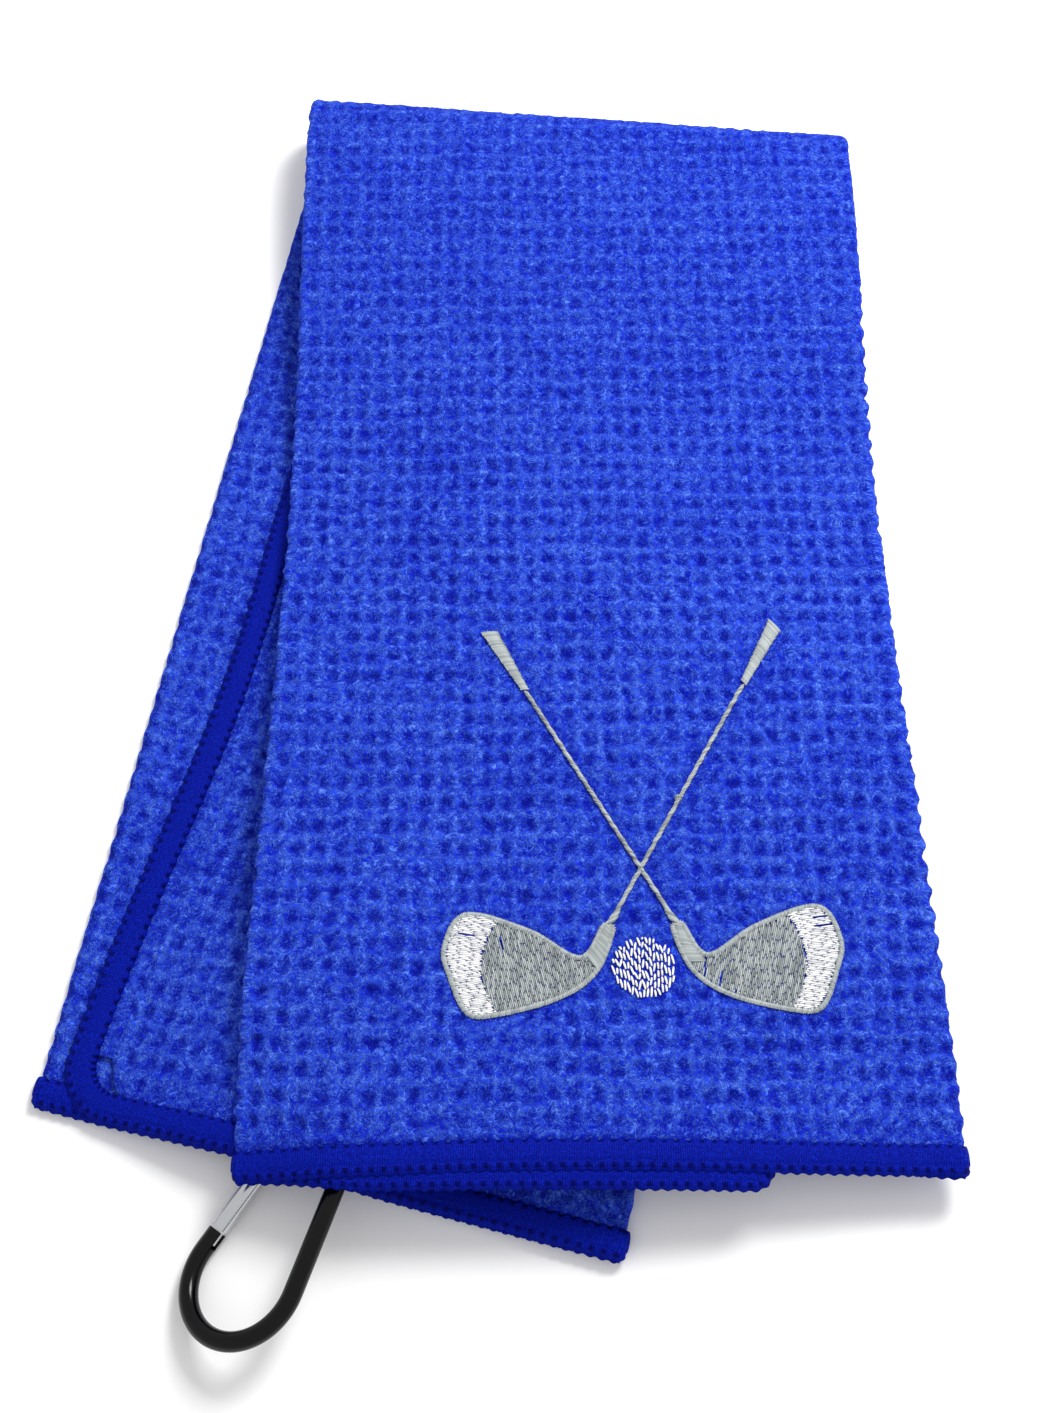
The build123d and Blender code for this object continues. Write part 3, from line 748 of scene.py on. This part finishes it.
# One club, mirrored about a line up the panel and skewed with the cloth, as in part.py.
MIRROR_X = 35.0
EMBLEM_SKEW = 0.03
HOSEL_OUT, HOSEL_Y, HOSEL_HALF = 8.0, -86.5, 1.1
THROAT_OUT, THROAT_Y = 14.5, -92.8
SHOULDER_OUT, SHOULDER_Y = 26.0, -86.0
CROWN_OUT, CROWN_Y = 40.5, -81.5
TOE_OUT, TOE_Y = 45.3, -89.5
SOLE_OUT, SOLE_Y = 34.0, -105.8
MID_SOLE_OUT, MID_SOLE_Y = 19.5, -102.2
HEEL_OUT, HEEL_Y = 11.0, -96.3
BAND_OUT, BAND_BULGE = 33.5, 3.5
GRIP_TOP, GRIP_FOOT = (36.0, -5.5), (27.0, -22.5)
SHAFT_TOP, SHAFT_FOOT = (26.7, -23.2), (7.6, -85.0)


def on_club(side, *points):
    """Points of one club: distance out from the mirror line, then height up the panel."""
    return [(MIRROR_X + side * out, y + EMBLEM_SKEW * side * out) for out, y in points]


HEAD_EDGE = [
    (HOSEL_OUT - HOSEL_HALF, HOSEL_Y), (HOSEL_OUT, HOSEL_Y + HOSEL_HALF),
    (HOSEL_OUT + HOSEL_HALF, HOSEL_Y + HOSEL_HALF),
    (THROAT_OUT, THROAT_Y), (SHOULDER_OUT, SHOULDER_Y), (CROWN_OUT, CROWN_Y), (TOE_OUT, TOE_Y),
    (TOE_OUT - 1.5, TOE_Y - 7), (SOLE_OUT + 6, SOLE_Y + 1), (SOLE_OUT, SOLE_Y),
    (MID_SOLE_OUT, MID_SOLE_Y), (HEEL_OUT, HEEL_Y),
]
BAND_EDGE = [
    (BAND_OUT + BAND_BULGE * math.sin(math.pi * t), CROWN_Y - 1.5 + (SOLE_Y + 0.5 - CROWN_Y + 1.5) * t)
    for t in np.linspace(0, 1, 7)
]
HOSEL_LINE = [
    (HOSEL_OUT, HOSEL_Y + 1), (HOSEL_OUT + 1.5, HOSEL_Y - 3.7),
    ((HEEL_OUT + THROAT_OUT) / 2 - 1, THROAT_Y - 1.6),
]
LEFT_HEAD, RIGHT_HEAD = on_club(-1, *HEAD_EDGE), on_club(1, *HEAD_EDGE)
LEFT_INNER, RIGHT_INNER = on_club(-1, *BAND_EDGE), on_club(1, *BAND_EDGE)
LEFT_GRIP, RIGHT_GRIP = on_club(-1, GRIP_TOP, GRIP_FOOT), on_club(1, GRIP_TOP, GRIP_FOOT)
HOSELS = {"left": on_club(-1, *HOSEL_LINE), "right": on_club(1, *HOSEL_LINE)}
LEFT_SHAFT = on_club(-1, SHAFT_TOP) + on_club(1, SHAFT_FOOT)
RIGHT_SHAFT = on_club(1, SHAFT_TOP) + on_club(-1, SHAFT_FOOT)
KNOT = (44.5, -53.3)
BALL = (MIRROR_X, -95.6)
BALL_R = 7.3


class Stitches:
    """Collects thread stitches as plan segments, and makes them one raised mesh."""

    def __init__(self):
        self.rows = []

    def add(self, start, end, width=0.42, lift=0.0, tone=0.5):
        self.rows.append((*start, *end, width, lift, tone))

    def build(self, name, stations=6, ring=6):
        data = np.array(self.rows, float)
        start, end, width, lift, tone = data[:, 0:2], data[:, 2:4], data[:, 4], data[:, 5], data[:, 6]
        way = end - start
        length = np.linalg.norm(way, axis=1)
        side = np.stack([-way[:, 1], way[:, 0]], -1) / np.maximum(length, 1e-6)[:, None]
        along = np.linspace(0, 1, stations)
        arch = np.sin(np.pi * (0.08 + 0.84 * along))
        taper = 0.45 + 0.55 * np.sin(np.pi * (0.05 + 0.9 * along)) ** 0.5
        turn = np.arange(ring) * 2 * math.pi / ring
        centre = start[:, None] + way[:, None] * along[None, :, None]
        spread = (np.cos(turn)[None, None] * (width / 2)[:, None, None]) * taper[None, :, None]
        plan = centre[:, :, None] + side[:, None, None] * spread[..., None]
        rise = lift[:, None, None] + THREAD_H * (arch[None, :, None] - 0.45)
        rise = rise + 0.5 * width[:, None, None] * np.sin(turn) * taper[None, :, None]
        c, v = to_sheet(plan[..., 0], plan[..., 1])
        points = sheet_point("front", c, v, MID - 0.2 + EMBROIDERED_AT + rise)
        n = len(data)
        index = np.arange(n * stations * ring).reshape(n, stations, ring)
        wrap = np.concatenate([index, index[:, :, :1]], 2)
        quads = np.stack([wrap[:, :-1, :-1], wrap[:, 1:, :-1], wrap[:, 1:, 1:], wrap[:, :-1, 1:]], -1)
        quads = quads.reshape(-1, 4)
        caps = np.concatenate([index[:, 0], index[:, -1, ::-1]])
        marks = np.stack(np.broadcast_arrays(
            along[None, :, None] * length[:, None, None], (turn / 3)[None, None], tone[:, None, None]), -1)
        attributes = {"weave": marks.reshape(-1, 3)}
        return mesh_object(name, points.reshape(-1, 3), [quads[:, ::-1], caps], attributes)

    def fill(self, outline, degrees, spacing, length, gap=0.3, tones=(0.3, 0.9), skip=0.0, lift=0.0):
        """Rows of running stitches inside an outline."""
        outline = np.asarray(outline)
        a = math.radians(degrees)
        way, over = np.array([math.cos(a), math.sin(a)]), np.array([-math.sin(a), math.cos(a)])
        reach_s, reach_o = outline @ way, outline @ over
        row = 0
        for o in np.arange(reach_o.min(), reach_o.max(), spacing):
            row += 1
            s = reach_s.min() - length * ((row * 0.37) % 1.0)
            while s < reach_s.max():
                run = length * (0.75 + 0.5 * rng.random())
                a0, a1 = s + gap / 2, s + run - gap / 2
                shift = 0.18 * spacing * (rng.random(2) - 0.5)
                q = np.linspace(a0, a1, 5)
                sample = q[:, None] * way + (o + shift[0]) * over
                ok = inside(outline, sample[:, 0], sample[:, 1])
                if ok.sum() >= 2 and rng.random() >= skip:
                    first, last = q[ok][0], q[ok][-1]
                    self.add(first * way + (o + shift[0]) * over, last * way + (o + shift[1]) * over,
                             0.42, lift, tones[0] + (tones[1] - tones[0]) * rng.random())
                s += run

    def satin(self, line, width, slant=0.35, spacing=0.36, lift=0.15, tones=(0.3, 0.95)):
        """Close stitches across a line; width is a number or a function of the share along."""
        line = np.asarray(line, float)
        lengths = np.concatenate([[0], np.cumsum(np.linalg.norm(np.diff(line, axis=0), axis=1))])
        for s in np.arange(0, lengths[-1], spacing):
            p = np.array([np.interp(s, lengths, line[:, k]) for k in (0, 1)])
            q = np.array([np.interp(min(s + 0.3, lengths[-1]), lengths, line[:, k]) for k in (0, 1)])
            q0 = np.array([np.interp(max(s - 0.3, 0), lengths, line[:, k]) for k in (0, 1)])
            way = (q - q0) / np.linalg.norm(q - q0)
            over = np.array([-way[1], way[0]])
            wide = width(s / lengths[-1]) if callable(width) else width
            wide *= 0.92 + 0.2 * rng.random()
            lean = way * slant * wide * 0.5
            self.add(p - over * wide / 2 - lean, p + over * wide / 2 + lean, 0.4, lift,
                     tones[0] + (tones[1] - tones[0]) * rng.random())


EMBROIDERED_AT = 0.62


def press_for_embroidery(c, v):
    """How freely the weave stands up: 1 on open cloth, less under the embroidery."""
    x, y = c + LEFT_C + FRONT_END_X[0], v + FRONT_END_Y
    calm = np.ones(np.broadcast_shapes(np.shape(c), np.shape(v)))
    x, y = np.broadcast_to(x, calm.shape), np.broadcast_to(y, calm.shape)
    area = (y > -112) & (y < 2) & (x > -14) & (x < 86)
    xs, ys = x[area], y[area]
    off = np.full(xs.shape, 9.0)
    for outline in (LEFT_HEAD, RIGHT_HEAD):
        line = dense(outline, 1.0)
        away = line_distance(line, xs, ys)
        off = np.minimum(off, np.where(inside(line, xs, ys), 0, away))
    off = np.minimum(off, np.maximum(np.hypot(xs - BALL[0], ys - BALL[1]) - BALL_R, 0))
    for a, b, wide in ((LEFT_SHAFT[0], LEFT_SHAFT[1], 0.4), (RIGHT_SHAFT[0], RIGHT_SHAFT[1], 0.4),
                       (LEFT_GRIP[0], LEFT_GRIP[1], 1.6), (RIGHT_GRIP[0], RIGHT_GRIP[1], 1.6)):
        a, b = np.array(a), np.array(b)
        t = np.clip(((xs - a[0]) * (b - a)[0] + (ys - a[1]) * (b - a)[1]) / ((b - a) @ (b - a)), 0, 1)
        away = np.hypot(xs - a[0] - t * (b - a)[0], ys - a[1] - t * (b - a)[1]) - wide
        off = np.minimum(off, np.maximum(away, 0))
    calm[area] = 0.12 + 0.88 * smooth((off - 0.3) / 2.2)
    return calm


def between(outline, inner, toe_side):
    """Splits a head at its inner line: the toe's outline, and the face's."""
    line = dense(outline, 0.6)
    cut = dense(inner, 0.6, closed=False)
    first = np.argmin(np.linalg.norm(line - cut[0], axis=1))
    last = np.argmin(np.linalg.norm(line - cut[-1], axis=1))
    low, high = min(first, last), max(first, last)
    one = np.concatenate([line[low:high], cut[::-1] if first < last else cut])
    two = np.concatenate([line[high:], line[:low], cut if first < last else cut[::-1]])
    return (one, two) if one[:, 0].mean() * toe_side > two[:, 0].mean() * toe_side else (two, one)


def embroider():
    made = {}
    for side, outline, inner, toe_side, face_angle in (
        ("left", LEFT_HEAD, LEFT_INNER, -1, 104), ("right", RIGHT_HEAD, RIGHT_INNER, 1, 76),
    ):
        toe, face = between(outline, inner, toe_side)
        head = Stitches()
        head.fill(face, face_angle, 0.42, 3.6, gap=0.16, skip=0.012, tones=(0.3, 0.85))
        head.satin(dense(outline, 0.4), 1.15, tones=(0.45, 0.95), lift=0.2)
        head.satin(HOSELS[side], lambda t: 1.9 + 2.3 * t, slant=0.5, spacing=0.34, lift=0.34,
                   tones=(0.45, 0.9))
        made[f"{side}_head_stitching"] = (head, GREY)
        white = Stitches()
        toe = toe.mean(0) + (toe - toe.mean(0)) * (1.05, 1.0) - (0.35 * toe_side, 0)
        white.fill(toe, -8 if side == "left" else 8, 0.42, 3.2, gap=0.1, skip=0.015,
                   tones=(0.4, 1.0), lift=0.04)
        made[f"{side}_toe_stitching"] = (white, WHITE)
    for side, (tip, base) in (("left", LEFT_GRIP), ("right", RIGHT_GRIP)):
        grip = Stitches()
        grip.satin([tip, base], lambda t: 4.0 - 2.2 * t**0.8, slant=0.45, spacing=0.3, lift=0.3,
                   tones=(0.45, 1.0))
        made[f"{side}_grip_stitching"] = (grip, GREY)
    shaft = Stitches()

    def shaft_width(t):
        """Uneven along its length, and wider where it meets the hosel."""
        return 0.8 + 0.25 * math.sin(t * 60) ** 2 + 0.9 * smooth(np.array((t - 0.93) / 0.07))

    for (tip, base), sign in ((LEFT_SHAFT, 1), (RIGHT_SHAFT, -1)):
        shaft.satin([tip, base], shaft_width, slant=1.5 * sign, spacing=0.42, lift=0.3, tones=(0.2, 0.9))
    for a in np.linspace(0, math.pi, 6):
        off = np.array([math.cos(a), math.sin(a)])
        shaft.add(np.array(KNOT) - off * 0.9, np.array(KNOT) + off * 0.9, 0.5, 0.55, 0.5)
    made["shaft_stitching"] = (shaft, GREY)
    ball = Stitches()
    for x in np.arange(-BALL_R + 0.3, BALL_R - 0.2, 0.84):
        chord = math.sqrt(max(BALL_R**2 - x * x, 0.1))
        y = -chord + 0.5 * rng.random()
        while y < chord - 0.4:
            run = 1.3 + 1.1 * rng.random()
            lean = 1.3 * (rng.random() - 0.62)
            top = min(y + run, chord)
            ball.add((BALL[0] + x - lean / 2, BALL[1] + y), (BALL[0] + x + lean / 2, BALL[1] + top),
                     0.52, 0.1, 0.55 + 0.45 * rng.random())
            y = top + 0.15 + 0.55 * rng.random()
    made["ball_stitching"] = (ball, WHITE)
    for name, (stitches, material) in made.items():
        piece = stitches.build(name.replace("stitching", "threads"))
        dress(piece, material, "front_half")
        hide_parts(name)


embroider()

# ---------------------------------------------------------------- cloth pieces
grommet_axis = unit(np.cross(
    np.array([*END_WAY, -math.tan(CLOTH_SLOPE)]), np.array([*END_INWARD, 0.0])))
hole = (np.array([*GROMMET, GROMMET_MID_Z]), grommet_axis, 6.5, 16.0, 1.3)


def cloth_half(half, **settings):
    panel, left, right = half_cloth(half, **settings)
    hem = half_hem(half)
    body = f"{half}_half"
    for piece in (panel, left, right):
        dress(piece, CLOTH, body)
    dress(hem, HEM, body)
    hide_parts(f"{half}_middle_panel", f"{half}_left_side_fold", f"{half}_right_side_fold")
    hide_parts(f"{half}_left_flap")
    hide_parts(f"{half}_right_flap")
    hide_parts(f"{half}_middle_panel_end_hem", f"{half}_left_flap_end_hem",
                f"{half}_right_flap_end_hem",
                f"{half}_left_flap_side_hem", f"{half}_right_flap_side_hem")
    return panel, left, right, hem


FINE = 0.56
front = cloth_half("front", step=FINE, flap_step=1.1, proud=0.9, relief=RELIEF, flap_proud=0.35,
                   flap_relief=0.6, press=press_for_embroidery, holes=None)
back = cloth_half("back", step=0.75, flap_step=0.8, proud=0.2, relief=0.5, flap_proud=0.7, flap_relief=1.0,
                  press=None, holes=(hole, hole, hole))


def roll_piece(name, c_range, proud, relief):
    def start(c):
        return fold_reach("front", c, np.array(UP_THE_SHEET), ROLL_FROM)

    def stop(c):
        return fold_reach("front", c, np.array(UP_THE_SHEET), ROLL_TO)

    piece = cloth_grid(name, "front", c_range, (start, stop), 0.56, proud, relief, 3)
    dress(piece, CLOTH, None)
    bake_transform(piece)
    return piece


rolls = [
    roll_piece("top_fold_panel_cloth",
               lambda v: (-LEFT_ARC - 0.0 * v, front_width(v) - LEFT_C - RIGHT_C + RIGHT_ARC), 0.9, RELIEF),
    roll_piece("top_fold_left_flap_cloth",
               lambda v: (left_edge(v, "front") + HEM_TUCK, -LEFT_ARC + 0.0 * v), 0.35, 0.6),
    roll_piece("top_fold_right_flap_cloth",
               lambda v: (right_edge(v, "front") - HEM_TUCK, front_width(v) - LEFT_C - RIGHT_C + RIGHT_ARC),
               0.35, 0.6),
]

for side, edge, sign in (("left", left_edge, 1), ("right", right_edge, -1)):
    ref = np.array(UP_THE_SHEET)
    v0 = float(fold_reach("front", edge(ref, "front"), ref, ROLL_FROM))
    piece = hem_piece(
        f"top_fold_{side}_flap_hem", "front",
        lambda s, t: edge(v0 + s, "front") + sign * t,
        lambda s, t: v0 + s + 0 * t,
        FOLD_R * (ROLL_TO - ROLL_FROM),
    )
    dress(piece, HEM, None)
    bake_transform(piece)

# ---------------------------------------------------------------- metal parts, as in the CAD
for node, material in (
    ("carabiner_body", BLACK), ("gate_tube", SILVER), ("gate_rivet", STEEL), ("gate_plunger", BRASS),
    ("gate_spring", STEEL), ("grommet_barrel", NICKEL), ("grommet_washer", NICKEL),
):
    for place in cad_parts[node].material_slots:
        place.material = material

# ---------------------------------------------------------------- floor, light and camera
floor_mesh = bpy.data.meshes.new("floor")
span = 3.0
corners = [(-span, -span, 0), (span, -span, 0), (span, span, 0), (-span, span, 0)]
floor_mesh.from_pydata(corners, [], [(0, 1, 2, 3)])
floor = bpy.data.objects.new("floor", floor_mesh)
bpy.context.scene.collection.objects.link(floor)
paper = Nodes("pale_paper")
grain = paper.add("ShaderNodeTexNoise", Vector=paper.add("ShaderNodeTexCoord").outputs["Object"], Scale=700.0)
tooth = paper.add("ShaderNodeBump", Strength=0.03, Distance=0.0002, Height=grain.outputs[0])
paper.set(Base_Color=(0.93, 0.93, 0.93, 1), Roughness=0.9, Normal=tooth.outputs[0])
floor_mesh.materials.append(paper.material)

world = bpy.data.worlds.new("studio")
bpy.context.scene.world = world
world.use_nodes = True
world.node_tree.nodes["Background"].inputs[0].default_value = (1, 1, 1, 1)
world.node_tree.nodes["Background"].inputs[1].default_value = 0.76


def area_light(name, place, target, size, power):
    light = bpy.data.lights.new(name, "AREA")
    light.shape, light.size, light.energy = "SQUARE", size, power
    made = bpy.data.objects.new(name, light)
    bpy.context.scene.collection.objects.link(made)
    made.location = place
    way = np.array(target) - np.array(place)
    made.rotation_euler = (
        math.atan2(math.hypot(way[0], way[1]), -way[2]), 0, math.atan2(way[1], way[0]) - math.pi / 2)
    return made


area_light("key", (0.30, 0.32, 0.55), (0.02, 0.03, 0), 0.26, 4.9)

camera = bpy.data.objects.new("camera", bpy.data.cameras.new("camera"))
bpy.context.scene.collection.objects.link(camera)
camera.location = (0.0092, -0.2088, 0.367)
camera.rotation_euler = (math.radians(27), 0, 0)
camera.data.lens = 41.23
camera.data.sensor_width = 36.0
camera.data.clip_start = 0.01
bpy.context.scene.camera = camera
bpy.context.scene.view_settings.view_transform = "Standard"
